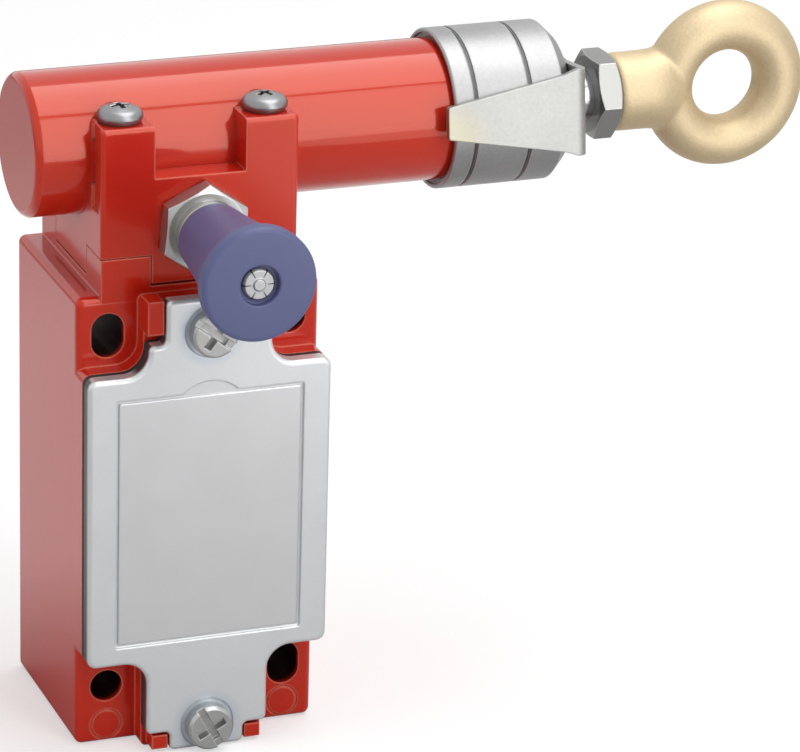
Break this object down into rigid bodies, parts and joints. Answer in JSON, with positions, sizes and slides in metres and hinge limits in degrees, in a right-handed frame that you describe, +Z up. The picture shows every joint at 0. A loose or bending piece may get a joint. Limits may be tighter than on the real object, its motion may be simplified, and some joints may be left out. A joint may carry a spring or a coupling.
{
  "type": "rope pull safety switch",
  "caption": "Rope pull switch: red cast body and head, horizontal spring barrel with tension pointer, swivelling rope eye and a blue pull-out reset knob.",
  "frame": {"origin": "centre of the fixing-hole pattern on the back mounting face", "axes": "+X along the rope out of the barrel, +Y out of the back face, +Z up, cover facing -Y"},
  "size_m": [0.1349, 0.0618, 0.1111],
  "materials": {
    "red_casting": "satin powder coat on a die casting",
    "red_tube": "smooth satin paint",
    "silver_casting": "silver paint on a die casting, fine grain",
    "label_metal": "satin sheet",
    "dark_rubber": "matte",
    "plated_steel": "zinc plated",
    "rod_steel": "ground",
    "gold_plating": "yellow passivated forging",
    "blue_plastic": "moulded",
    "bushing_brass": "turned",
    "bronze": "sintered bush",
    "white_plastic": "moulded",
    "dark_plastic": "moulded",
    "contact_brass": "stamped",
    "spring_steel": "drawn wire"
  },
  "bodies": {
    "switch_body": {"housing": "red_casting", "cover": "silver_casting", "cover_gasket": "dark_rubber", "label_plate": "label_metal", "cover_screws": "plated_steel", "head_block": "red_casting", "head_gasket": "dark_rubber", "head_screws": "plated_steel", "pin_seals": "dark_rubber", "barrel": "red_tube", "indicator_ring": "silver_casting", "gland_bush": "bronze", "rod_wiper": "dark_rubber", "main_spring": "spring_steel", "contact_block": "dark_plastic", "fixed_contacts": "contact_brass", "terminal_screws": "plated_steel", "block_screws": "plated_steel", "earth_screw": "plated_steel", "reset_bushing": "bushing_brass", "reset_nut": "plated_steel", "stud_seal": "dark_rubber", "reset_spring": "spring_steel", "pull_spring": "spring_steel", "slack_spring": "spring_steel"},
    "spring_seat": {"spring_seat": "plated_steel"},
    "pull_shaft": {"pull_shaft": "rod_steel", "cam_sleeve": "rod_steel", "cam_cross_pin": "plated_steel", "indicator_bracket": "plated_steel", "rod_washer": "plated_steel", "lock_nut": "plated_steel", "eye_nut": "gold_plating"},
    "reset": {"reset_knob": "blue_plastic", "reset_stud": "plated_steel", "reset_spring_seat": "plated_steel", "latch_plate": "plated_steel"},
    "pull_follower": {"pull_pin": "white_plastic", "pull_carrier": "white_plastic", "pull_bridge_contact": "contact_brass"},
    "slack_follower": {"slack_pin": "white_plastic", "slack_carrier": "white_plastic", "slack_bridge_contact": "contact_brass"}
  },
  "joints": [
    {"name": "rope_pull", "type": "slide", "parent": "switch_body", "child": "spring_seat", "axis": [1, 0, 0], "range_m": [0, 0.015], "stiffness_N_per_m": 4000, "springref_m": -0.004, "deforming": ["main_spring"]},
    {"name": "eye_swivel", "type": "hinge", "parent": "spring_seat", "child": "pull_shaft", "pos_m": [0, -0.017, 0.05707], "axis": [1, 0, 0], "continuous": true},
    {"name": "reset_pull", "type": "slide", "parent": "switch_body", "child": "reset", "axis": [0, -1, 0], "range_m": [0, 0.004], "stiffness_N_per_m": 800, "springref_m": -0.003, "deforming": ["reset_spring"]},
    {"name": "pull_follower", "type": "slide", "parent": "switch_body", "child": "pull_follower", "axis": [0, 0, -1], "range_m": [0, 0.00375], "deforming": ["pull_spring"]},
    {"name": "slack_follower", "type": "slide", "parent": "switch_body", "child": "slack_follower", "axis": [0, 0, 1], "range_m": [0, 0.00375], "deforming": ["slack_spring"]}
  ],
  "couplings": [
    {"joint": "pull_follower", "follows": "rope_pull", "ratio": 0.25},
    {"joint": "slack_follower", "follows": "rope_pull", "ratio": 0.25}
  ]
}
